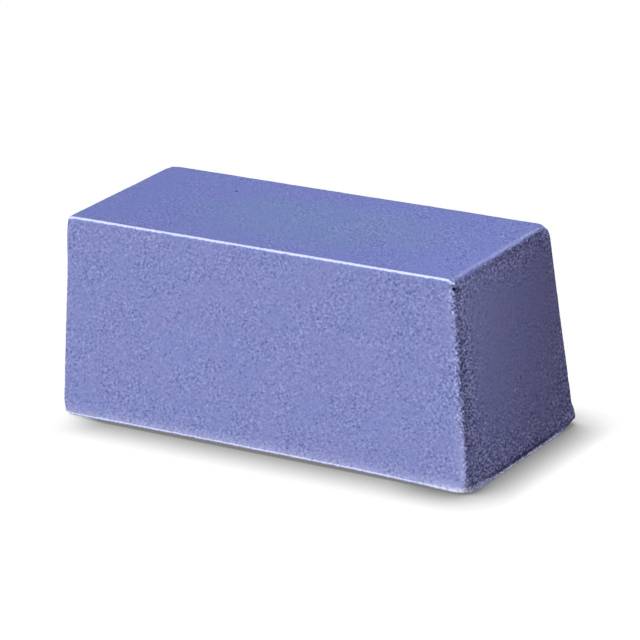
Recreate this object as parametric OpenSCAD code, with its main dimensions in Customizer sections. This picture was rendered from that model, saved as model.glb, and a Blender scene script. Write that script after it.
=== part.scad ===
// Rosin cake: one cast block with drafted walls, rounded edges and a thin flared lip round its foot.
// It stands on its foot, centred on the origin, with its length along X and its narrow face up.

/* [Block] */
// Length over the end walls at the foot, without the lip
foot_length = 60; // [40:0.5:120]
// Width over the long walls at the foot, without the lip
foot_width = 26; // [16:0.5:60]
// Height from the foot to the top face
cake_height = 26; // [12:0.5:50]

/* [Draft] */
// Lean of the two end walls from upright, in degrees
end_draft = 4; // [0:0.1:8]
// Lean of the two long walls from upright, in degrees
side_draft = 3.6; // [0:0.1:8]

/* [Corners and edges] */
// Radius of the upright corners at the top, seen from above
top_corner_radius = 0.9; // [0.5:0.1:5]
// Radius of the upright corners at the foot, seen from above
foot_corner_radius = 0.9; // [0.5:0.1:5]
// Radius of the edge round the top face
top_edge_radius = 0.6; // [0.1:0.05:1.5]

/* [Lip] */
// How far the lip stands out from the wall
lip_width = 0.3; // [0.1:0.05:1]
// Height at which the flare of the lip runs out into the wall
lip_height = 1; // [0.7:0.1:5]
// Radius of the lower edge of the lip
lip_edge_radius = 0.3; // [0.1:0.05:0.6]

/* [Smoothness] */
// Steps along each upright corner
corner_steps = 8; // [4:1:24]
// Steps along each edge rounding and along the flare of the lip
edge_steps = 6; // [3:1:12]

/* [Hidden] */
cake_colour = [0.53, 0.55, 0.77];
corners = 4;
quarter_turn = 360 / corners;
least_corner_radius = 0.05;

// The section of the wall from the foot up. Each point is a height, and how far the surface there
// stands out from the plain drafted wall.
lip_edge_section = [
  for (step = [0 : edge_steps])
    let (turn = quarter_turn * step / edge_steps)
    [lip_edge_radius * (1 - cos(turn)), lip_width - lip_edge_radius * (1 - sin(turn))]
];
lip_flare_section = [
  for (step = [1 : edge_steps])
    let (rise = step / edge_steps)
    [lip_edge_radius + (lip_height - lip_edge_radius) * rise, lip_width * pow(1 - rise, 2)]
];
top_edge_section = [
  for (step = [0 : edge_steps])
    let (turn = quarter_turn * step / edge_steps)
    [cake_height - top_edge_radius * (1 - sin(turn)), -top_edge_radius * (1 - cos(turn))]
];
wall_section = concat(lip_edge_section, lip_flare_section, top_edge_section);

// Radius of an upright corner, which goes evenly from the foot's to the top's
function corner_radius(height, stand_out) =
  let (share = height / cake_height)
  let (drafted = foot_corner_radius + (top_corner_radius - foot_corner_radius) * share)
  max(least_corner_radius, drafted + stand_out);

// One closed ring of points round the cake: a rectangle with rounded corners
function ring(height, stand_out) =
  let (half_length = foot_length / 2 - height * tan(end_draft) + stand_out)
  let (half_width = foot_width / 2 - height * tan(side_draft) + stand_out)
  let (radius = corner_radius(height, stand_out))
  [
    for (corner = [0 : corners - 1])
      let (outward = quarter_turn * (corner + 1 / 2))
      let (centre_x = sign(cos(outward)) * (half_length - radius))
      let (centre_y = sign(sin(outward)) * (half_width - radius))
      for (step = [0 : corner_steps])
        let (turn = quarter_turn * (corner + step / corner_steps))
        [centre_x + radius * cos(turn), centre_y + radius * sin(turn), height]
  ];

// The cake is skinned over its rings, and closed by its foot and its top face
module rosin_cake() {
  ring_points = corners * (corner_steps + 1);
  rings = len(wall_section);
  points = [for (level = wall_section) each ring(level[0], level[1])];
  wall_faces = [
    for (level = [0 : rings - 2])
      for (side = [0 : ring_points - 1])
        let (next_side = (side + 1) % ring_points)
        let (low = level * ring_points)
        let (high = low + ring_points)
        [low + side, high + side, high + next_side, low + next_side]
  ];
  foot_face = [for (side = [0 : ring_points - 1]) side];
  top_face = [for (side = [1 : ring_points]) rings * ring_points - side];
  color(cake_colour)
    polyhedron(points = points, faces = concat([foot_face], wall_faces, [top_face]));
}

rosin_cake();
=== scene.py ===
"""A bare rosin cake: one cast block with drafted walls and a thin lip round its foot, on a plain floor."""
import math
import random
from collections import namedtuple

import bmesh
import bpy
from mathutils import Euler, Matrix, Vector, noise


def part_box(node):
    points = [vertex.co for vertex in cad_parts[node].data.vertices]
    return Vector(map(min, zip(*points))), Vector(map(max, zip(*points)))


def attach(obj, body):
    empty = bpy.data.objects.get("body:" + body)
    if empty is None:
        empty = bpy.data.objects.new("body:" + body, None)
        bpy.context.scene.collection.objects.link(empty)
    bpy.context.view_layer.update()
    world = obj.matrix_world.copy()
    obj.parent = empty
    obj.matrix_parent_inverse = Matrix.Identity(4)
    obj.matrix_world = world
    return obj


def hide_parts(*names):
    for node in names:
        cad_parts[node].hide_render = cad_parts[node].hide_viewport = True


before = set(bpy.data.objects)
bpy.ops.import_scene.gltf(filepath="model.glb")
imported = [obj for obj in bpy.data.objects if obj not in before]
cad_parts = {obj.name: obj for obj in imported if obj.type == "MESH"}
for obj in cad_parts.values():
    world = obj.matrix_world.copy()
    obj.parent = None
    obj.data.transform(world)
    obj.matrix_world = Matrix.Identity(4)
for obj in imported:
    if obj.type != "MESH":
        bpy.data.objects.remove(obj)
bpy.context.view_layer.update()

MM = 0.001

# Values that change from place to place: an amount that fades out over a reach, a band of an amount at a
# distance from an edge, and a ripple of noise
Fade = namedtuple("Fade", "amount reach")
Band = namedtuple("Band", "amount distance reach")
Ripple = namedtuple("Ripple", "amount length seed")

# The step in the noise from one seed to the next, and the share under which a fade is left out
SEED_STEP = Vector((1, 1.7, 2.3))
NEGLIGIBLE = 0.01

# The block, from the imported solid: X along the length, Y across, Z up from the foot
X, Y, Z = range(3)
solid_low, solid_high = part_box("rosin_cake")
LIP_REACH = 0.28 * MM
HALF_LENGTH = solid_high.x - LIP_REACH
HALF_WIDTH = solid_high.y - LIP_REACH
HEIGHT = solid_high.z
END_DRAFT = math.radians(4)
SIDE_DRAFT = math.radians(3.6)
END_SKEW = 0.22 * MM

# Its four upright corners at the foot, the way up to the top, and its middle
FRONT_LEFT = Vector((-HALF_LENGTH, -HALF_WIDTH, 0))
FRONT_RIGHT = Vector((HALF_LENGTH, -HALF_WIDTH, 0))
BACK_LEFT = Vector((-HALF_LENGTH, HALF_WIDTH, 0))
BACK_RIGHT = Vector((HALF_LENGTH, HALF_WIDTH, 0))
TO_TOP = Vector((0, 0, HEIGHT))
MIDDLE = TO_TOP / 2

# The net of faces: the first rounding of every edge, with some slack for telling what lies on it, the rows
# along X, Y and Z, and extra rows by their distance from the front, from the right end and from the top
EDGE_RADIUS = 0.7 * MM
EDGE_STEPS = 8
EDGE_PROFILE = 0.5
EDGE_SLACK = 0.001 * MM
NET_ROWS = (186, 78, 78)
SIDE_ROWS = (0.7 * MM, 0.85 * MM)
END_ROWS = (0.5 * MM, 0.65 * MM, 0.95 * MM)
TOP_ROWS = (0.45 * MM, 0.55 * MM, 0.7 * MM, 1.22 * MM, 1.34 * MM, 1.46 * MM)

# Each edge: its own radius, how pale its line is (rubbed wear, and painted highlight on the front top edge
# and front foot), where across it that line runs and how wide, how deep its chips are, and how coarse the
# grain beside it is. A line below 0 lies on a wall and one above 0 on the top or the floor; at an upright
# edge a line below 0 lies on the end and one above 0 on the long side.
Edge = namedtuple("Edge", "radius rubbed line width chips coarse")
EDGES = {
    "front_top": Edge(0.42 * MM, 1.0, 0.3, 0.8, 0.015 * MM, 0.0),
    "back_top": Edge(0.6 * MM, 0.25, 0.0, 0.55, 0.04 * MM, 0.3),
    "left_top": Edge(0.6 * MM, 0.25, 0.0, 0.55, 0.04 * MM, 0.2),
    "right_top": Edge(0.3 * MM, 0.42, 1.4, 0.6, 0.2 * MM, 1.0),
    "front_right": Edge(0.55 * MM, 0.22, 0.6, 0.6, 0.14 * MM, 1.6),
    "front_left": Edge(0.6 * MM, 0.15, 0.0, 0.55, 0.05 * MM, 0.2),
    "back_right": Edge(0.6 * MM, 0.36, -0.3, 0.5, 0.05 * MM, 0.3),
    "back_left": Edge(0.6 * MM, 0.2, 0.0, 0.55, 0.06 * MM, 0.2),
    "front_foot": Edge(0.3 * MM, 1.0, -1.0, 0.55, 0.02 * MM, 0.3),
    "right_foot": Edge(0.22 * MM, 0.72, -0.2, 0.9, 0.08 * MM, 0.4),
    "back_foot": Edge(0.3 * MM, 0.5, -1.0, 0.55, 0.04 * MM, 0.4),
    "left_foot": Edge(0.3 * MM, 0.5, -1.0, 0.55, 0.04 * MM, 0.15),
}

# Chips: how far from an edge they reach, and the ripples and the base level that shape them
CHIP_REACH = 0.7 * MM
CHIP_RIPPLES = (Ripple(1.0, 0.55 * MM, 11), Ripple(0.5, 1.6 * MM, 12))
CHIP_BASE = 0.35

# The slight waves of every face, and how far in they lie so that none stands out of the block
CAST_WAVES = (
    Ripple(0.03 * MM, 11 * MM, 21),
    Ripple(0.008 * MM, 2.2 * MM, 22),
    Ripple(0.005 * MM, 0.75 * MM, 23),
)
CAST_SINK = 0.0245 * MM

# The lip round the foot: its height, its lower edge and its rows of faces
LIP_HEIGHT = 1.1 * MM
LIP_EDGE_RADIUS = 0.22 * MM
LIP_ROWS = 10
LIP_ROWS_TOP = 1.6 * MM

# Shares of the lip's height that are added at the two right corners and taken off along the right end
CORNER_HIGHER = Fade(0.6, 5 * MM)
BACK_RIGHT_HIGHER = Fade(2.0, 3 * MM)
RIGHT_LOWER = Fade(0.7, 2 * MM)

# How far the lip stands out, what is added at the front right corner and along the right end, its ripple,
# and the shares that are taken off at two other corners
LIP_OUT = 0.24 * MM
CORNER_OUT = Fade(0.2 * MM, 9 * MM)
RIGHT_OUT = Fade(0.2 * MM, 2 * MM)
LIP_RIPPLE = Ripple(0.03 * MM, 2.5 * MM, 3)
FRONT_LEFT_LESS = Fade(1.0, 6 * MM)
BACK_RIGHT_LESS = Fade(0.3, 3 * MM)

# How far the foot hangs down at the front corners and along the right end, how far it runs out towards that
# end's corners, and the height at which it starts
CORNER_DROOP = Fade(0.24 * MM, 11 * MM)
LEFT_DROOP = Fade(0.18 * MM, 7 * MM)
RIGHT_DROOP = Fade(0.36 * MM, 7 * MM)
DROOP_RUN_OUT = 4 * MM
DROOP_HEIGHT = 8 * MM
SHRINKAGE = HEIGHT / (HEIGHT + RIGHT_DROOP.amount)

# The rounded foot of the front right corner
FOOT_ROUND = 2.0 * MM
FOOT_ROUND_HEIGHT = 3.0 * MM

# The groove above the lip of the right end: its depth and width, its height and what is added at the front
# right corner, how far it reaches round the end's edges, where it runs out at the back, and its ripple
GROOVE_DEPTH = 0.22 * MM
GROOVE_WIDTH = 0.16 * MM
GROOVE_HEIGHT = 0.36 * MM
GROOVE_HIGHER = Fade(0.45 * MM, 4 * MM)
GROOVE_REACH = 0.6 * MM
GROOVE_RUN_OUT = 5 * MM
GROOVE_RIPPLE = Ripple(0.5, 1.5 * MM, 31)

# Corners that are knocked round: the two axes they are rounded in and the third, the radius, and the reach
# along the third
Knock = namedtuple("Knock", "corner first second along radius reach")
KNOCKED = (
    Knock(BACK_RIGHT + TO_TOP, X, Z, Y, 1.6 * MM, 2.4 * MM),
    Knock(FRONT_RIGHT + TO_TOP, X, Z, Y, 1.3 * MM, 1.2 * MM),
    Knock(BACK_RIGHT, Y, Z, X, 0.9 * MM, 1.0 * MM),
    Knock(BACK_RIGHT, X, Z, Y, 1.0 * MM, 2.0 * MM),
)

# Corners that are worn in, and places on upright edges that bulge out
WORN_IN = (
    (BACK_LEFT + TO_TOP, Fade(0.2 * MM, 1.1 * MM)),
    (FRONT_LEFT + TO_TOP, Fade(0.14 * MM, 1.0 * MM)),
    (FRONT_LEFT, Fade(0.4 * MM, 0.9 * MM)),
    (BACK_LEFT, Fade(0.15 * MM, 1.0 * MM)),
)
BULGES = (
    (FRONT_LEFT + Vector((0, 0, 23.5 * MM)), Fade(0.14 * MM, 2.4 * MM)),
    (BACK_RIGHT + Vector((0, 0, 23 * MM)), Fade(0.04 * MM, 2.4 * MM)),
)

# Small pits: how many, the seed they are drawn with, and the least and most of their depth and of their
# painted shade
PIT_COUNT = 40
PIT_SEED = 5
PIT_DEPTHS = (0.02 * MM, 0.05 * MM)
PIT_SHADES = (0.15, 0.4)

# Single marks: their place on the plain block, radius and depth, and how dark their painted shade is
Mark = namedtuple("Mark", "place radius depth dark")
MARKS = (
    Mark(FRONT_RIGHT + Vector((-0.17, 0.17, 24.86)) * MM, 0.19 * MM, 0.15 * MM, 2.0),
    Mark(FRONT_RIGHT + Vector((-1.65, 0, 3.05)) * MM, 0.24 * MM, 0.06 * MM, 0.5),
    Mark(BACK_LEFT + TO_TOP + Vector((14.88, -6.38, 0)) * MM, 0.3 * MM, 0.06 * MM, 0.75),
)

# How far a face's finish runs on past its rim, how far the top's tint does, and which faces are the foot's
FACE_RIM = 0.5 * MM
TINT_RIM = 0.4 * MM
FOOT_FACING = -0.7

# Pale edge lines, partly rubbed wear and partly painted highlight: how many of an edge's radii they reach,
# and how strongly they fill them
LINE_RADII = 1.3
LINE_FILL = 1.6

# The thick lip round the front right corner: its reach, and its share of the groove's height
CORNER_LIP_REACH = 6 * MM
CORNER_LIP_SHARE = 0.85

# Strength of the grain: what the top lacks, how much of that comes back towards its right, what the ends
# have and gain low down, what is added beside the edges, more of it on the ends, and what the thick lip
# lacks
TOP_FINER = 0.34
TOP_COARSER_RIGHT = 0.14
END_GRAIN = 0.68
END_LOW_GRAIN = Fade(1.0, 9 * MM)
EDGE_GRAIN_REACH = 2.4 * MM
EDGE_GRAIN = 0.15
EDGE_GRAIN_ON_ENDS = 2.6
CORNER_LIP_FINER = 0.6

# Pale marks: painted light above the front lip and the front right corner's, and on the thick lip there,
# where the foot flares up to the light; and pale dust on the front beside its right edge with more low down,
# and along the right of the top with more to the back
FRONT_FOOT_LIGHT = Fade(0.26, 1.0 * MM)
CORNER_FOOT_LIGHT = Fade(0.2, 1.0 * MM)
CORNER_LIP_LIGHT = 0.62
RIGHT_EDGE_DUST = Fade(0.08, 1.1 * MM)
RIGHT_EDGE_LOW_DUST = Fade(0.24, 9 * MM)
TOP_RIGHT_DUST = Band(0.36, 0.6 * MM, 0.32 * MM)
TOP_DUST_LEVEL = 0.75
TOP_DUST_TO_BACK = 0.25

# Darkening: dark lines on the right end below the top edge and beside the front edge, painted shade in
# patches in the groove, and a dark line on the top behind the front edge
END_TOP_DARK_LINE = Band(0.42, 0.58 * MM, 0.3 * MM)
END_FRONT_DARK_LINE = Band(0.22, 0.7 * MM, 0.25 * MM)
GROOVE_SHADE = Fade(0.6, 1.4 * GROOVE_WIDTH)
GROOVE_SHADE_RIPPLE = Ripple(1.2, 1.1 * MM, 33)
GROOVE_SHADE_LEVEL = 0.75
GROOVE_SHADE_LEAST = 0.2
TOP_FRONT_DARK_LINE = Band(0.1, 0.6 * MM, 0.25 * MM)

# Colours of the finish, linear
CAST_BLUE = (0.226, 0.264, 0.556, 1)
CAST_VIOLET = (0.240, 0.263, 0.550, 1)
# The top's bluer colour: partly its own tint, partly painted cool light from above
TOP_BLUE = (0.230, 0.264, 0.68, 1)
BLOOM_TEAL = (0.222, 0.293, 0.585, 1)
PALE_GRAIN = (0.418, 0.456, 0.79, 1)
DARK_GRAIN = (0.109, 0.127, 0.345, 1)
# The dark of painted shade in the groove and of dark lines beside some edges
SHADE_AND_DARK_LINE = (0.06, 0.06, 0.17, 1)
BRIGHT_SPECK = (0.54, 0.63, 1.0, 1)
# The pale of the edge lines: rubbed wear, and a painted highlight on the front top edge and front foot
RUBBED_PALE_AND_HIGHLIGHT = (0.72, 0.75, 0.97, 1)
# Painted shade in the pits
PAINTED_PIT_SHADE = (0.004, 0.004, 0.012, 1)
FOOT_BLUE = (0.20, 0.225, 0.50, 1)
FOOT_VIOLET = (0.22, 0.23, 0.50, 1)

# Gloss of the finish, how strongly the top is tinted (partly painted cool light from above), and the levels
# between which a pit turns dark with painted shade
CAST_ROUGHNESS = 0.75
FOOT_ROUGHNESS = 0.6
PALE_SMOOTHER = 0.15
SPECULAR_LEVEL = 0.06
TOP_TINT = 0.6
PIT_LEVELS = (0.1, 0.7)

# The grain lies aslant through the casting, and is longest in that direction
GRAIN_SLANT = Euler((math.radians(70), 0, math.radians(34))).to_matrix()
GRAIN_TURN = (GRAIN_SLANT @ Matrix.Rotation(math.radians(27), 3, "Z")).to_euler()
GRAIN_STRETCH = (0.93, 0.93, 1.55)

# The grain's size, how sharp it is at its middle and how much more at its peaks, its contrast, and how deep
# it is; the size of the patches it lies in, its strength out of them, and how much is added in them
GRAIN_SIZE = 0.34 * MM
GRAIN_SHARPNESS = 0.75
PEAK_SHARPNESS = 2.3
GRAIN_CONTRAST = 1.9
GRAIN_DEPTH = 0.12 * MM
PATCH_SIZE = 5 * MM
PATCH_LEVELS = (0.32, 0.68)
PATCH_LEAST = 0.48
PATCH_MORE = 0.8

# Flecks and bright specks, from noise beside the grain's: the levels they lie between, the strength of the
# grain that brings them out, and how much of them shows
FLECK_SHIFT = (0.37, 0.11, 0.23)
PALE_FLECK_LEVELS = (0.64, 0.76)
PALE_FLECKS_FROM = 0.9
PALE_FLECK_SHARE = 0.9
DARK_FLECK_LEVELS = (0.34, 0.22)
DARK_FLECKS_FROM = 0.45
SPECK_LEVELS = (0.71, 0.79)
SPECK_LEAST = 0.06
SPECK_MORE = 0.8

# The noise's middle level, the drift of the colour, and how noise breaks up the pale lines (rubbed wear and
# painted highlight), the dust and painted light, and the painted shade and dark lines
CLOUD_MIDDLE = 0.5
MOTTLE_SIZE = 5 * MM
MOTTLE_LEVELS = (0.35, 0.65)
MOTTLE_DETAIL = 3.0
MOTTLE_ROUGHNESS = 0.6
WEAR_SIZE = 0.4 * MM
LINE_UNEVEN = 0.9
LINE_LEVELS = (0.3, 0.8)
DUST_AND_LIGHT_UNEVEN = 2.8
SHADE_UNEVEN = 2.5

# The cool bloom on the top: its middle and reach, its uneven rim, and how much of it shows
BLOOM_MIDDLE = TO_TOP + Vector((1.7, -0.4, 0)) * MM
BLOOM_REACH = (17 * MM, 8 * MM, 4 * MM)
BLOOM_PATCH = 6 * MM
BLOOM_UNEVEN = 0.9
BLOOM_RIM = (1.15, 0.6)
BLOOM_SHARE = 0.8

# The floor: half its width in metres, the paper that lights the cake from below, and the dark sheet under
# the white that the camera sees
FLOOR_REACH = 3
FLOOR_PAPER = (0.44, 0.36, 0.36, 1)
FLOOR_SHEET = (0.02, 0.02, 0.02, 1)

# The floor's shadow is painted by its own material, from how closed-in each place is, not cast by the lamps:
# the way it leans, its reach and samples, how steeply it fades, where it ends at the left, the place and
# range where it is deeper and how much, and the most of it
SHADOW_LEAN = {"X": -0.425, "Y": 0.10, "Z": 0.90}
SHADOW_REACH = 6 * MM
SHADOW_SAMPLES = 16
SHADOW_POWER = 1.5
SHADOW_LEFT_END = (-HALF_LENGTH - 0.6 * MM, -HALF_LENGTH + 7.5 * MM)
SHADOW_DEEP = FRONT_RIGHT + Vector((-4, -2, 0)) * MM
SHADOW_DEEP_RANGE = (8 * MM, 1 * MM)
SHADOW_DEEPER = 0.32
SHADOW_MOST = 0.8

# Light: the lamps' way from the block's middle, their distances and sizes in metres, and levels at which 1
# lights a face that is turned to the lamp as brightly as its colour is written
Lamp = namedtuple("Lamp", "name way distance width height level colour")
LAMPS = (
    Lamp("key", (-0.42, -0.88, 0.22), 1.5, 0.6, 0.6, 0.95, (0.95, 1.0, 1.0)),
    Lamp("overhead", (0.16, 0.08, 0.984), 0.25, 0.12, 0.12, 0.56, (0.855, 0.97, 1.0)),
    Lamp("fill", (0.94, -0.25, 0.23), 0.048, 0.01, 0.04, 0.055, (1.0, 1.0, 1.0)),
)

# The even light from all round, and the background that the camera sees in its place
WORLD_LEVEL = 0.115
WORLD_COLOUR = (1.0, 0.55, 0.6, 1)
WHITE = (1, 1, 1, 1)

# The photograph's view
VIEW_AZIMUTH = math.radians(34.165)
VIEW_ELEVATION = math.radians(20.014)
VIEW_ROLL = math.radians(-3.035)
VIEW_DISTANCE = 521 * MM * SHRINKAGE
VIEW_RIGHT = 1.104 * MM
VIEW_UP = -0.205 * MM
VIEW_CLIP = 100
SENSOR = 36.0
LENS = 236.05


def clamp(value, limit):
    """value, kept between -limit and limit."""
    return max(-limit, min(limit, value))


def falloff(distance, reach):
    """1 at the middle, fading smoothly to 0 a few reaches away."""
    return math.exp(-((distance / reach) ** 2))


def faded(fade, distance):
    """What is left of a fade's amount at a distance."""
    return fade.amount * falloff(distance, fade.reach)


def in_band(band, distance):
    """What a band amounts to at a distance from its edge."""
    return band.amount * falloff(distance - band.distance, band.reach)


def ripple(wave, place):
    """Smooth noise from about -1 to 1 times the ripple's amount, with bumps about one length apart."""
    return wave.amount * noise.noise(place / wave.length + wave.seed * SEED_STEP)


def from_corner(place, corner):
    """How far a place is from an upright corner, seen from above."""
    return math.hypot(place.x - corner.x, place.y - corner.y)


def outward(place, corner):
    """From the core of the plain block, a corner radius in, to a place on its walls, seen from above."""
    x = place.x - clamp(place.x, HALF_LENGTH - corner)
    y = place.y - clamp(place.y, HALF_WIDTH - corner)
    return Vector((x, y, 0))


def faces_near(place):
    """The end, side and level faces nearest to a place on the plain block, and the gaps to them."""
    end = "left" if place.x < 0 else "right"
    side = "front" if place.y < 0 else "back"
    level = "foot" if place.z < MIDDLE.z else "top"
    gap_z = min(place.z, HEIGHT - place.z)
    return end, side, level, Vector((HALF_LENGTH - abs(place.x), HALF_WIDTH - abs(place.y), gap_z))


def edges_near(place):
    """The three edges nearest to a place on the plain block, each with the axes of its two faces."""
    end, side, level, gaps = faces_near(place)
    return gaps, (
        (EDGES[side + "_" + level], Y, Z),
        (EDGES[end + "_" + level], X, Z),
        (EDGES[side + "_" + end], X, Y),
    )


def plain_block():
    """The block before it is worked on: upright walls, every edge rounded, an even net of faces."""
    bm = bmesh.new()
    bmesh.ops.create_cube(bm, size=2)
    bmesh.ops.scale(bm, vec=(HALF_LENGTH, HALF_WIDTH, HEIGHT / 2), verts=bm.verts)
    bmesh.ops.translate(bm, vec=MIDDLE, verts=bm.verts)
    bmesh.ops.bevel(
        bm, geom=bm.edges[:], offset=EDGE_RADIUS, offset_type="OFFSET", segments=EDGE_STEPS,
        profile=EDGE_PROFILE, affect="EDGES", material=-1)
    for axis, rows in enumerate(NET_ROWS):
        run = [e for e in bm.edges if abs((e.verts[0].co - e.verts[1].co)[axis]) > HEIGHT / 2]
        bmesh.ops.subdivide_edges(bm, edges=run, cuts=rows - 1, use_grid_fill=True)
    return bm


def tighten_edges(bm):
    """Draws the rounding of each edge out to its own radius."""
    for v in bm.verts:
        gaps, edges = edges_near(v.co)
        shares = [1, 1, 1]
        for edge, first, second in edges:
            if max(gaps[first], gaps[second]) < EDGE_RADIUS + EDGE_SLACK:
                shares[first] = min(shares[first], edge.radius / EDGE_RADIUS)
                shares[second] = min(shares[second], edge.radius / EDGE_RADIUS)
        v.co.x += math.copysign(gaps.x * (1 - shares[X]), v.co.x)
        v.co.y += math.copysign(gaps.y * (1 - shares[Y]), v.co.y)
        v.co.z += math.copysign(gaps.z * (1 - shares[Z]), v.co.z - MIDDLE.z)


def more_rows(bm):
    """More rows of faces for the lip, and beside the edges at the front, right and top."""
    lip_step = (LIP_ROWS_TOP - LIP_EDGE_RADIUS) / LIP_ROWS
    cuts = [Vector((0, 0, LIP_EDGE_RADIUS + lip_step * row)) for row in range(1, LIP_ROWS + 1)]
    cuts += [Vector((0, gap - HALF_WIDTH, 0)) for gap in SIDE_ROWS]
    cuts += [Vector((HALF_LENGTH - gap, 0, 0)) for gap in END_ROWS]
    cuts += [Vector((0, 0, HEIGHT - gap)) for gap in TOP_ROWS]
    for cut in cuts:
        everything = bm.verts[:] + bm.edges[:] + bm.faces[:]
        bmesh.ops.bisect_plane(bm, geom=everything, plane_co=cut, plane_no=cut.normalized())


def groove_height(place):
    """How high the groove runs: highest at the front right corner, where the lip is thickest."""
    return GROOVE_HEIGHT + faded(GROOVE_HIGHER, from_corner(place, FRONT_RIGHT))


def groove_end(place):
    """How the groove runs out along the right end: 1 along most of it, 0 at the back."""
    return 1 - falloff(HALF_WIDTH - place.y, GROOVE_RUN_OUT)


def corner_lip(place):
    """How far a place lies on the thick lip round the front right corner: 1 on it, 0 away from it."""
    at_corner = falloff(from_corner(place, FRONT_RIGHT), CORNER_LIP_REACH)
    return at_corner * falloff(place.z, CORNER_LIP_SHARE * groove_height(place))


def on_faces(place):
    """How far a place lies on the top, on an end and on the front: 1 on the face, 0 away from it."""
    on_top = falloff(HEIGHT - place.z, FACE_RIM)
    on_end = falloff(HALF_LENGTH - abs(place.x), FACE_RIM) * (1 - on_top)
    on_front = falloff(HALF_WIDTH + place.y, FACE_RIM) * (1 - on_top) * (1 - on_end)
    return on_top, on_end, on_front


def rubbed_and_highlight_line(place):
    """How pale a place is in a line along each edge: rubbed wear, and painted highlight on front edges."""
    most = 0
    gaps, edges = edges_near(place)
    for edge, first, second in edges:
        off_line = (gaps[first] - gaps[second]) / edge.radius - edge.line
        near = LINE_FILL * falloff(max(0, gaps[first], gaps[second]), LINE_RADII * edge.radius)
        most = max(most, edge.rubbed * falloff(off_line, edge.width) * min(1, near))
    return most


def coarse_grain(place):
    """How strong the grain is at a place: fine on the top, coarse low on the ends and by worn edges."""
    on_top, on_end, _ = on_faces(place)
    coarse = 1 - (TOP_FINER - TOP_COARSER_RIGHT * place.x / HALF_LENGTH) * on_top
    coarse += (END_GRAIN + faded(END_LOW_GRAIN, place.z) - coarse) * on_end
    gaps, edges = edges_near(place)
    for edge, first, second in edges:
        beside = falloff(max(0, gaps[first], gaps[second]), EDGE_GRAIN_REACH)
        coarse += edge.coarse * beside * (EDGE_GRAIN + EDGE_GRAIN_ON_ENDS * on_end)
    return coarse * (1 - CORNER_LIP_FINER * corner_lip(place))


def pale_dust_and_painted_light(place):
    """How pale a place is: painted light low on the front, dust by its right edge and the right of the top.
    """
    on_top, _, on_front = on_faces(place)
    from_right = HALF_LENGTH - place.x
    at_corner = falloff(from_corner(place, FRONT_RIGHT), CORNER_LIP_REACH)
    # Painted light low on the front and on the thick corner lip, where the flared foot turns up to the light
    at_foot = on_front * faded(FRONT_FOOT_LIGHT, place.z)
    at_foot += max(at_corner * faded(CORNER_FOOT_LIGHT, place.z), CORNER_LIP_LIGHT * corner_lip(place))
    beside_right = RIGHT_EDGE_DUST.amount + faded(RIGHT_EDGE_LOW_DUST, place.z)
    beside_right *= on_front * falloff(from_right, RIGHT_EDGE_DUST.reach)
    to_back = TOP_DUST_LEVEL + TOP_DUST_TO_BACK * place.y / HALF_WIDTH
    right_of_top = on_top * to_back * in_band(TOP_RIGHT_DUST, from_right)
    return max(at_foot, beside_right, right_of_top)


def painted_shade_and_dark_lines(place):
    """How dark a place is painted: shade in the groove, dark lines by the right end's and front top edges.
    """
    on_top, on_end, _ = on_faces(place)
    on_right = on_end if place.x > 0 else 0
    from_front = HALF_WIDTH + place.y
    below_top = on_right * in_band(END_TOP_DARK_LINE, HEIGHT - place.z)
    beside_front = on_right * in_band(END_FRONT_DARK_LINE, from_front)
    # Painted shade in the groove above the right lip, in patches
    patchy = max(GROOVE_SHADE_LEAST, GROOVE_SHADE_LEVEL + ripple(GROOVE_SHADE_RIPPLE, place))
    in_groove = on_right * groove_end(place) * patchy * faded(GROOVE_SHADE, place.z - groove_height(place))
    behind_front_top = on_top * in_band(TOP_FRONT_DARK_LINE, from_front)
    return max(below_top, beside_front, in_groove, behind_front_top)


def mark_wear_and_painted_light(bm):
    """Notes on each vertex how its place is worn and where light and shade are painted, for the finish."""
    rubbed = bm.verts.layers.float.new("rubbed")
    coarse = bm.verts.layers.float.new("coarse")
    dust_and_light = bm.verts.layers.float.new("dust_and_light")
    shade_and_dark_lines = bm.verts.layers.float.new("shade_and_dark_lines")
    upper = bm.verts.layers.float.new("upper")
    for v in bm.verts:
        v[rubbed] = rubbed_and_highlight_line(v.co)
        v[coarse] = coarse_grain(v.co)
        v[dust_and_light] = pale_dust_and_painted_light(v.co)
        v[shade_and_dark_lines] = painted_shade_and_dark_lines(v.co)
        v[upper] = falloff(HEIGHT - v.co.z, TINT_RIM)


def push(bm, moves):
    """Moves each vertex along its normal, outwards where its move is above 0."""
    for v, move in zip(bm.verts, moves):
        v.co += v.normal * move


def chip_depth(place):
    """How deep the edges near a place are chipped there."""
    depth = 0
    gaps, edges = edges_near(place)
    for edge, first, second in edges:
        nearness = falloff(max(0, gaps[first], gaps[second]), CHIP_REACH)
        if nearness > NEGLIGIBLE:
            chip = sum(ripple(wave, place) for wave in CHIP_RIPPLES)
            depth += edge.chips * nearness * max(0, CHIP_BASE + chip)
    return depth


def ragged_edges(bm):
    """Breaks up the edges with chips well under a millimetre."""
    bm.normal_update()
    push(bm, [-chip_depth(v.co) for v in bm.verts])


def cast_surface(bm):
    """The slight waves of a poured casting over every face."""
    bm.normal_update()
    push(bm, [sum(ripple(wave, v.co) for wave in CAST_WAVES) - CAST_SINK for v in bm.verts])


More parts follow.
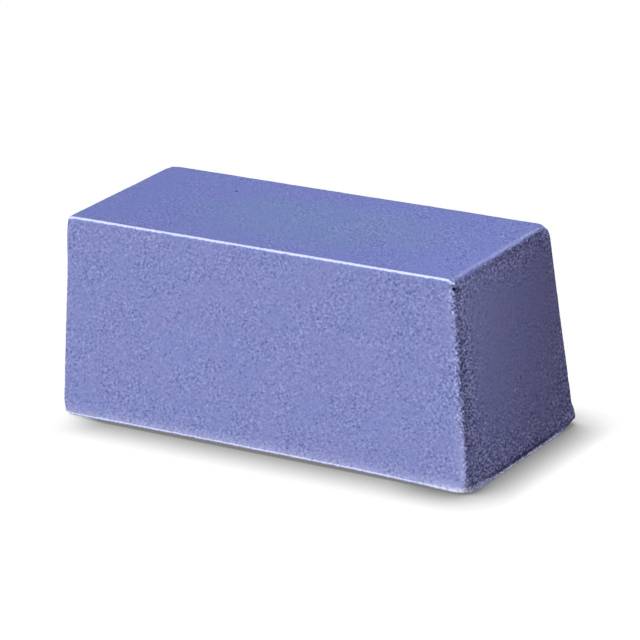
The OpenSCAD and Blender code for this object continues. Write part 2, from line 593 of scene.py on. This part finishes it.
def pits(bm):
    """A few small pits left by bubbles and knocks, each one noted for the finish to paint shade into it."""
    pitted = bm.verts.layers.float.new("pitted")
    bm.verts.ensure_lookup_table()
    bm.normal_update()
    draw = random.Random(PIT_SEED)
    for _ in range(PIT_COUNT):
        v = bm.verts[draw.randrange(len(bm.verts))]
        v.co -= v.normal * draw.uniform(*PIT_DEPTHS)
        v[pitted] = draw.uniform(*PIT_SHADES)
    for mark in MARKS:
        for v in bm.verts:
            share = falloff((v.co - mark.place).length, mark.radius)
            if share > NEGLIGIBLE:
                v.co -= v.normal * mark.depth * share
                v[pitted] = max(v[pitted], mark.dark * share)


def right_groove(bm):
    """The shallow, uneven groove along the right end, just above the lip, that runs out towards the back."""
    for v in bm.verts:
        if v.co.z < LIP_ROWS_TOP:
            at_right = falloff(HALF_LENGTH - v.co.x, GROOVE_REACH)
            depth = GROOVE_DEPTH * (1 + ripple(GROOVE_RIPPLE, v.co)) * at_right * groove_end(v.co)
            v.co.x -= depth * falloff(v.co.z - groove_height(v.co), GROOVE_WIDTH)


def knock_corners(bm):
    """Rounds each knocked corner in the plane of two axes, less and less along the third."""
    for corner, first, second, along, radius, reach in KNOCKED:
        for v in bm.verts:
            away = v.co - corner
            past = Vector((radius - abs(away[first]), radius - abs(away[second])))
            if min(past) > 0:
                drawn_in = past - past.normalized() * max(past)
                drawn_in *= falloff(away[along], reach)
                v.co[first] += math.copysign(drawn_in.x, MIDDLE[first] - corner[first])
                v.co[second] += math.copysign(drawn_in.y, MIDDLE[second] - corner[second])


def round_foot_corner(bm):
    """Rounds the foot of the front right corner, more and more towards the floor."""
    core = FRONT_RIGHT + Vector((-FOOT_ROUND, FOOT_ROUND, 0))
    for v in bm.verts:
        away = Vector((v.co.x - core.x, v.co.y - core.y, 0))
        if v.co.z < FOOT_ROUND_HEIGHT and away.x > 0 and away.y < 0:
            rounded = away.normalized() * max(away.x, -away.y)
            v.co += (rounded - away) * (1 - v.co.z / FOOT_ROUND_HEIGHT) ** 2


def lip_height(place):
    """How high the lip is at a place round the foot: high at the right corners, low along the right end."""
    at_corner = falloff(from_corner(place, FRONT_RIGHT), CORNER_HIGHER.reach)
    lower = faded(RIGHT_LOWER, HALF_LENGTH - place.x) * (1 - at_corner)
    higher = CORNER_HIGHER.amount * at_corner + faded(BACK_RIGHT_HIGHER, from_corner(place, BACK_RIGHT))
    return LIP_HEIGHT * (1 - lower + higher)


def lip_stand_out(place):
    """How far the lip stands out at a place round the foot: most at the right, none at the front left."""
    at_corner = falloff(from_corner(place, FRONT_RIGHT), CORNER_OUT.reach)
    out = LIP_OUT + ripple(LIP_RIPPLE, place) + CORNER_OUT.amount * at_corner
    out += faded(RIGHT_OUT, HALF_LENGTH - place.x) * (1 - at_corner)
    out *= 1 - faded(FRONT_LEFT_LESS, from_corner(place, FRONT_LEFT))
    return out * (1 - faded(BACK_RIGHT_LESS, from_corner(place, BACK_RIGHT)))


def lip_droop(place):
    """How far the foot hangs down at a place round it: most along the right, some at the front corners."""
    at_corner = faded(CORNER_DROOP, from_corner(place, FRONT_RIGHT))
    at_left = faded(LEFT_DROOP, from_corner(place, FRONT_LEFT))
    to_back = falloff(HALF_WIDTH - place.y, DROOP_RUN_OUT)
    to_front = falloff(HALF_WIDTH + place.y, DROOP_RUN_OUT)
    along_right = faded(RIGHT_DROOP, HALF_LENGTH - place.x) * max(0, 1 - to_back - to_front)
    return max(at_corner, at_left, along_right)


def flare_lip(bm):
    """Pushes the foot of each wall out into a lip, hollow except at the back right, and lets it droop."""
    for v in bm.verts:
        if v.co.z > DROOP_HEIGHT:
            continue
        on_floor = Vector((v.co.x, v.co.y, 0))
        at_round = from_corner(on_floor, FRONT_RIGHT) < 2 * FOOT_ROUND
        way = outward(on_floor, FOOT_ROUND if at_round else EDGE_RADIUS).normalized()
        rise = min(1, v.co.z / lip_height(on_floor))
        hollow = (1 - rise) ** 2
        bulged = 1 - rise ** 2
        at_back_right = falloff(from_corner(on_floor, BACK_RIGHT), BACK_RIGHT_HIGHER.reach)
        flare = hollow * (1 - at_back_right) + bulged * at_back_right
        droop = lip_droop(on_floor) * (1 - v.co.z / DROOP_HEIGHT)
        v.co += way * lip_stand_out(on_floor) * flare
        v.co.z -= droop


def wear_corners(bm):
    """Knocks in the corners that are worn, and swells the two upright edges that bulge."""
    for corner, fade in WORN_IN:
        inwards = MIDDLE - corner
        inwards = Vector([math.copysign(1, along) for along in inwards]).normalized()
        for v in bm.verts:
            v.co += inwards * faded(fade, (v.co - corner).length)
    for place, fade in BULGES:
        for v in bm.verts:
            v.co += outward(v.co, EDGE_RADIUS).normalized() * faded(fade, (v.co - place).length)


def taper(bm):
    """Leans the walls inwards, skews the right end, and shrinks the cake so that its lip meets the floor."""
    for v in bm.verts:
        to_front = (HALF_WIDTH - v.co.y) / (2 * HALF_WIDTH)
        v.co.x += END_SKEW * to_front * max(0, v.co.x / HALF_LENGTH)
        v.co.x *= 1 - v.co.z * math.tan(END_DRAFT) / HALF_LENGTH
        v.co.y *= 1 - v.co.z * math.tan(SIDE_DRAFT) / HALF_WIDTH
    about_top = Matrix.Translation(-TO_TOP)
    bmesh.ops.scale(bm, vec=(SHRINKAGE, SHRINKAGE, SHRINKAGE), verts=bm.verts, space=about_top)


def keep_inside_solid(bm):
    """Nothing stands outside the solid's box."""
    for v in bm.verts:
        v.co.x = max(solid_low.x, min(solid_high.x, v.co.x))
        v.co.y = max(solid_low.y, min(solid_high.y, v.co.y))
        v.co.z = max(solid_low.z, min(solid_high.z, v.co.z))


def rosin_cake():
    """The cake as one mesh, worked from the plain block to the worn casting."""
    bm = plain_block()
    tighten_edges(bm)
    more_rows(bm)
    mark_wear_and_painted_light(bm)
    ragged_edges(bm)
    cast_surface(bm)
    pits(bm)
    right_groove(bm)
    knock_corners(bm)
    round_foot_corner(bm)
    flare_lip(bm)
    wear_corners(bm)
    taper(bm)
    keep_inside_solid(bm)
    bmesh.ops.recalc_face_normals(bm, faces=bm.faces)
    for face in bm.faces:
        face.smooth = True
        face.material_index = 1 if face.normal.z < FOOT_FACING else 0
    mesh = bpy.data.meshes.new("rosin_cake_casting")
    bm.to_mesh(mesh)
    bm.free()
    cake = bpy.data.objects.new("rosin_cake_casting", mesh)
    bpy.context.scene.collection.objects.link(cake)
    return cake


def plug(tree, value, socket):
    """Wires an output to a socket, or sets the socket to a plain value."""
    if isinstance(value, bpy.types.NodeSocket):
        tree.links.new(value, socket)
    else:
        socket.default_value = value


def put(tree, kind, wired=None, **settings):
    """Adds a node with its settings, and its inputs by name or number."""
    made = tree.nodes.new(kind)
    for name, value in settings.items():
        setattr(made, name, value)
    for name, value in (wired or {}).items():
        plug(tree, value, made.inputs[name])
    return made


def calc(tree, operation, first, second=0.0, clamped=False):
    """The result of one sum on two values."""
    made = put(tree, "ShaderNodeMath", {0: first, 1: second}, operation=operation, use_clamp=clamped)
    return made.outputs[0]


def times_plus(tree, value, factor, offset, clamped=False):
    """value times factor, plus offset."""
    wired = {0: value, 1: factor, 2: offset}
    return put(tree, "ShaderNodeMath", wired, operation="MULTIPLY_ADD", use_clamp=clamped).outputs[0]


def between(tree, value, low, high):
    """0 where value is at low, 1 where it is at high, smooth between."""
    wired = {"Value": value, "From Min": low, "From Max": high}
    return put(tree, "ShaderNodeMapRange", wired, interpolation_type="SMOOTHSTEP").outputs["Result"]


def tint(tree, share, first, second):
    """A colour between two colours. The node has sockets for each kind of data: these are the colour's."""
    return put(tree, "ShaderNodeMix", {0: share, 6: first, 7: second}, data_type="RGBA").outputs[2]


def cloud(tree, place, size, detail, roughness=0.5):
    """Smooth noise from 0 to 1, with bumps of about one size."""
    scale = calc(tree, "DIVIDE", 1.0, size)
    wired = {"Vector": place, "Scale": scale, "Detail": detail, "Roughness": roughness}
    return put(tree, "ShaderNodeTexNoise", wired).outputs["Fac"]


def new_group(name, inputs, outputs):
    """An empty node group with its sockets, and where to wire them inside."""
    group = bpy.data.node_groups.new(name, "ShaderNodeTree")
    for label, kind in inputs:
        group.interface.new_socket(label, in_out="INPUT", socket_type=kind)
    for label, kind in outputs:
        group.interface.new_socket(label, in_out="OUTPUT", socket_type=kind)
    entry = group.nodes.new("NodeGroupInput")
    leave = group.nodes.new("NodeGroupOutput")
    return group, entry.outputs, leave.inputs


def cast_grain_group():
    """Fine grain of the casting, as pale and dark grains, flecks and bright specks, stronger in patches."""
    group, given, result = new_group(
        "cast_grain",
        [("Place", "NodeSocketVector"), ("Grain size", "NodeSocketFloat"), ("Patch size", "NodeSocketFloat"),
         ("Coarse", "NodeSocketFloat")],
        [("Height", "NodeSocketFloat"), ("Pale", "NodeSocketFloat"), ("Dark", "NodeSocketFloat"),
         ("Speck", "NodeSocketFloat")])
    patch = between(group, cloud(group, given["Place"], given["Patch size"], detail=1.0), *PATCH_LEVELS)
    strong = calc(group, "MULTIPLY", times_plus(group, patch, PATCH_MORE, PATCH_LEAST), given["Coarse"])
    fine = cloud(group, given["Place"], given["Grain size"], detail=1.0)
    level = calc(group, "SUBTRACT", fine, CLOUD_MIDDLE)
    sharp = times_plus(group, calc(group, "ABSOLUTE", level), PEAK_SHARPNESS, GRAIN_SHARPNESS)
    grain = calc(group, "MULTIPLY", calc(group, "MULTIPLY", level, sharp), strong)
    plug(group, grain, result["Height"])
    aside = put(group, "ShaderNodeVectorMath", {0: given["Place"], 1: FLECK_SHIFT}, operation="ADD")
    sparse = cloud(group, aside.outputs[0], given["Grain size"], detail=0.0)
    pale_share = calc(group, "SUBTRACT", given["Coarse"], PALE_FLECKS_FROM, clamped=True)
    dark_share = calc(group, "SUBTRACT", given["Coarse"], DARK_FLECKS_FROM, clamped=True)
    speck_share = times_plus(group, pale_share, SPECK_MORE, SPECK_LEAST)
    pale_fleck = calc(group, "MULTIPLY", between(group, sparse, *PALE_FLECK_LEVELS), pale_share)
    dark_fleck = calc(group, "MULTIPLY", between(group, sparse, *DARK_FLECK_LEVELS), dark_share)
    speck = calc(group, "MULTIPLY", between(group, sparse, *SPECK_LEVELS), speck_share)
    shown_fleck = calc(group, "MULTIPLY", pale_fleck, PALE_FLECK_SHARE)
    plug(group, times_plus(group, grain, GRAIN_CONTRAST, shown_fleck, clamped=True), result["Pale"])
    plug(group, times_plus(group, grain, -GRAIN_CONTRAST, dark_fleck, clamped=True), result["Dark"])
    plug(group, speck, result["Speck"])
    return group


def mottle_group():
    """Soft drift of the casting's colour from blue to violet."""
    group, given, result = new_group(
        "mottle",
        [("Place", "NodeSocketVector"), ("Size", "NodeSocketFloat"),
         ("Blue", "NodeSocketColor"), ("Violet", "NodeSocketColor")],
        [("Color", "NodeSocketColor")])
    drift = cloud(group, given["Place"], given["Size"], MOTTLE_DETAIL, MOTTLE_ROUGHNESS)
    share = between(group, drift, *MOTTLE_LEVELS)
    plug(group, tint(group, share, given["Blue"], given["Violet"]), result["Color"])
    return group


def rubbed_edge_and_highlight_group():
    """Pale from rubbing, dust and painted light, and dark from painted shade and dark lines; all uneven."""
    group, given, result = new_group(
        "rubbed_edge_and_highlight",
        [("Place", "NodeSocketVector"), ("Rubbed", "NodeSocketFloat"), ("Dust and light", "NodeSocketFloat"),
         ("Shade and dark lines", "NodeSocketFloat"), ("Fleck size", "NodeSocketFloat")],
        [("Pale", "NodeSocketFloat"), ("Dark lines and shade", "NodeSocketFloat")])
    flecks = cloud(group, given["Place"], given["Fleck size"], detail=1.0)
    uneven = calc(group, "SUBTRACT", flecks, CLOUD_MIDDLE)
    line = between(group, times_plus(group, uneven, LINE_UNEVEN, given["Rubbed"]), *LINE_LEVELS)
    dust_and_light_share = calc(group, "MULTIPLY", given["Dust and light"], times_plus(group, uneven, DUST_AND_LIGHT_UNEVEN, 1.0))
    plug(group, calc(group, "MAXIMUM", line, dust_and_light_share, clamped=True), result["Pale"])
    gaps_in_darkening = times_plus(group, uneven, -SHADE_UNEVEN, 1.0)
    plug(group, calc(group, "MULTIPLY", given["Shade and dark lines"], gaps_in_darkening, clamped=True), result["Dark lines and shade"])
    return group


def bloom_on_top(tree, place):
    """A soft cool bloom over the middle of the top face."""
    spread = put(
        tree, "ShaderNodeMapping", {"Vector": place, "Location": BLOOM_MIDDLE, "Scale": BLOOM_REACH},
        vector_type="TEXTURE").outputs["Vector"]
    far = put(tree, "ShaderNodeVectorMath", {0: spread}, operation="LENGTH").outputs["Value"]
    uneven = calc(tree, "SUBTRACT", cloud(tree, place, BLOOM_PATCH, detail=2.0), CLOUD_MIDDLE)
    rim = times_plus(tree, uneven, BLOOM_UNEVEN, far)
    return calc(tree, "MULTIPLY", between(tree, rim, *BLOOM_RIM), BLOOM_SHARE)


def rosin_material(name, groups, blue, violet, bloom, roughness):
    """Cast rosin: mottled, grained, pale with wear and painted light, dark with painted shade in its pits.
    """
    material = bpy.data.materials.new(name)
    material.use_nodes = True
    tree = material.node_tree
    shader = tree.nodes["Principled BSDF"]
    place = put(tree, "ShaderNodeTexCoord").outputs["Object"]
    noted = {
        wear: put(tree, "ShaderNodeAttribute", attribute_name=wear).outputs["Fac"]
        for wear in ("rubbed", "coarse", "dust_and_light", "shade_and_dark_lines", "upper", "pitted")}
    aslant = put(
        tree, "ShaderNodeMapping", {"Vector": place, "Rotation": GRAIN_TURN, "Scale": GRAIN_STRETCH},
        vector_type="TEXTURE").outputs["Vector"]
    grain = put(tree, "ShaderNodeGroup", {
        "Place": aslant, "Grain size": GRAIN_SIZE, "Patch size": PATCH_SIZE, "Coarse": noted["coarse"],
    }, node_tree=groups["grain"]).outputs
    mottle = put(tree, "ShaderNodeGroup", {
        "Place": place, "Size": MOTTLE_SIZE, "Blue": blue, "Violet": violet,
    }, node_tree=groups["mottle"]).outputs
    worn_and_painted = put(tree, "ShaderNodeGroup", {
        "Place": place, "Rubbed": noted["rubbed"], "Dust and light": noted["dust_and_light"], "Shade and dark lines": noted["shade_and_dark_lines"],
        "Fleck size": WEAR_SIZE,
    }, node_tree=groups["rubbed"]).outputs
    colour = mottle["Color"]
    if bloom:
        # The top is tinted bluer: partly its own colour, partly painted cool light from above
        colour = tint(tree, calc(tree, "MULTIPLY", noted["upper"], TOP_TINT), colour, TOP_BLUE)
        soft_bloom = calc(tree, "MULTIPLY", bloom_on_top(tree, place), noted["upper"])
        colour = tint(tree, soft_bloom, colour, BLOOM_TEAL)
    colour = tint(tree, grain["Pale"], colour, PALE_GRAIN)
    colour = tint(tree, grain["Dark"], colour, DARK_GRAIN)
    # Painted shade in the groove, and dark lines by some edges
    colour = tint(tree, worn_and_painted["Dark lines and shade"], colour, SHADE_AND_DARK_LINE)
    colour = tint(tree, grain["Speck"], colour, BRIGHT_SPECK)
    # Pale edge lines of rubbed wear and painted highlight, dust, and painted light on the lip
    colour = tint(tree, worn_and_painted["Pale"], colour, RUBBED_PALE_AND_HIGHLIGHT)
    # Painted shade in the pits
    colour = tint(tree, between(tree, noted["pitted"], *PIT_LEVELS), colour, PAINTED_PIT_SHADE)
    plug(tree, colour, shader.inputs["Base Color"])
    matt = times_plus(tree, worn_and_painted["Pale"], -PALE_SMOOTHER, roughness)
    plug(tree, matt, shader.inputs["Roughness"])
    plug(tree, SPECULAR_LEVEL, shader.inputs["Specular IOR Level"])
    bump = put(tree, "ShaderNodeBump", {"Strength": 1.0, "Distance": GRAIN_DEPTH, "Height": grain["Height"]})
    plug(tree, bump.outputs["Normal"], shader.inputs["Normal"])
    return material


def floor_shadow(tree):
    """How dark the painted shadow is on the floor: close round the foot, deepest by the front right corner.
    """
    place = put(tree, "ShaderNodeTexCoord").outputs["Object"]
    lean = put(tree, "ShaderNodeCombineXYZ", SHADOW_LEAN).outputs["Vector"]
    open_sky = put(
        tree, "ShaderNodeAmbientOcclusion", {"Distance": SHADOW_REACH, "Normal": lean},
        samples=SHADOW_SAMPLES).outputs["AO"]
    shade = calc(tree, "SUBTRACT", 1.0, calc(tree, "POWER", open_sky, SHADOW_POWER))
    along = put(tree, "ShaderNodeSeparateXYZ", {"Vector": place}).outputs["X"]
    shade = calc(tree, "MULTIPLY", shade, between(tree, along, *SHADOW_LEFT_END))
    far = put(tree, "ShaderNodeVectorMath", {0: place, 1: SHADOW_DEEP}, operation="DISTANCE")
    close = between(tree, far.outputs["Value"], *SHADOW_DEEP_RANGE)
    deeper = times_plus(tree, close, SHADOW_DEEPER, 1.0)
    return calc(tree, "MINIMUM", calc(tree, "MULTIPLY", shade, deeper), SHADOW_MOST)


def pale_floor():
    """A plain floor that looks white, with a painted soft shadow close round the foot."""
    bm = bmesh.new()
    bmesh.ops.create_grid(bm, x_segments=1, y_segments=1, size=FLOOR_REACH)
    mesh = bpy.data.meshes.new("floor")
    bm.to_mesh(mesh)
    bm.free()
    floor = bpy.data.objects.new("floor", mesh)
    bpy.context.scene.collection.objects.link(floor)
    material = bpy.data.materials.new("pale_floor")
    material.use_nodes = True
    tree = material.node_tree
    tree.nodes.clear()
    path = put(tree, "ShaderNodeLightPath").outputs
    seen = calc(tree, "MAXIMUM", path["Is Camera Ray"], path["Is Glossy Ray"])
    glow = calc(tree, "SUBTRACT", 1.0, floor_shadow(tree))
    white = put(tree, "ShaderNodeEmission", {"Strength": glow}).outputs[0]
    sheet = put(tree, "ShaderNodeBsdfDiffuse", {"Color": FLOOR_SHEET}).outputs[0]
    paper = put(tree, "ShaderNodeBsdfDiffuse", {"Color": FLOOR_PAPER}).outputs[0]
    shown = put(tree, "ShaderNodeAddShader", {0: sheet, 1: white}).outputs[0]
    choice = put(tree, "ShaderNodeMixShader", {0: seen, 1: paper, 2: shown}).outputs[0]
    put(tree, "ShaderNodeOutputMaterial", {"Surface": choice})
    mesh.materials.append(material)


def soft_lamp(plan):
    """A soft lamp turned to the block's middle, which lights a face turned to it as its level says."""
    lamp = bpy.data.lights.new(plan.name, "AREA")
    lamp.shape = "RECTANGLE"
    lamp.size = plan.width
    lamp.size_y = plan.height
    lamp.color = plan.colour
    lamp.energy = plan.level * math.pi ** 2 * plan.distance ** 2
    holder = bpy.data.objects.new(plan.name, lamp)
    way = Vector(plan.way).normalized()
    holder.location = MIDDLE + way * plan.distance
    holder.rotation_mode = "QUATERNION"
    holder.rotation_quaternion = way.to_track_quat("Z", "Y")
    holder.visible_camera = False
    bpy.context.scene.collection.objects.link(holder)


def studio_world():
    """Even light from all round, and a white background."""
    world = bpy.data.worlds.new("studio")
    world.use_nodes = True
    bpy.context.scene.world = world
    tree = world.node_tree
    path = put(tree, "ShaderNodeLightPath").outputs
    seen = calc(tree, "MAXIMUM", path["Is Camera Ray"], path["Is Glossy Ray"])
    seen = calc(tree, "MAXIMUM", seen, path["Is Transmission Ray"])
    backdrop = tree.nodes["Background"]
    plug(tree, tint(tree, seen, WORLD_COLOUR, WHITE), backdrop.inputs["Color"])
    plug(tree, times_plus(tree, seen, 1 - WORLD_LEVEL, WORLD_LEVEL), backdrop.inputs["Strength"])


def photo_camera():
    """The camera where the photograph was taken from."""
    back = Vector((
        math.sin(VIEW_AZIMUTH) * math.cos(VIEW_ELEVATION),
        -math.cos(VIEW_AZIMUTH) * math.cos(VIEW_ELEVATION),
        math.sin(VIEW_ELEVATION)))
    level = (-back).to_track_quat("-Z", "Y").to_matrix()
    aim = TO_TOP * (1 - SHRINKAGE / 2) + level @ Vector((VIEW_RIGHT, VIEW_UP, 0))
    turned = level @ Matrix.Rotation(VIEW_ROLL, 3, "Z")
    lens = bpy.data.cameras.new("photo_camera")
    lens.sensor_width = SENSOR
    lens.lens = LENS
    lens.clip_start = VIEW_DISTANCE / VIEW_CLIP
    lens.clip_end = VIEW_DISTANCE * VIEW_CLIP
    camera = bpy.data.objects.new("photo_camera", lens)
    camera.matrix_world = Matrix.Translation(aim + back * VIEW_DISTANCE) @ turned.to_4x4()
    bpy.context.scene.collection.objects.link(camera)
    bpy.context.scene.camera = camera


photo_camera()
pale_floor()
studio_world()
for plan in LAMPS:
    soft_lamp(plan)

groups = {"grain": cast_grain_group(), "mottle": mottle_group(), "rubbed": rubbed_edge_and_highlight_group()}
cake = rosin_cake()
cast_rosin = rosin_material("cast_rosin", groups, CAST_BLUE, CAST_VIOLET, True, CAST_ROUGHNESS)
poured_foot = rosin_material("poured_foot", groups, FOOT_BLUE, FOOT_VIOLET, False, FOOT_ROUGHNESS)
cake.data.materials.append(cast_rosin)
cake.data.materials.append(poured_foot)
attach(cake, "root")
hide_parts("rosin_cake")

bpy.context.scene.view_settings.view_transform = "Standard"

bpy.context.view_layer.update()
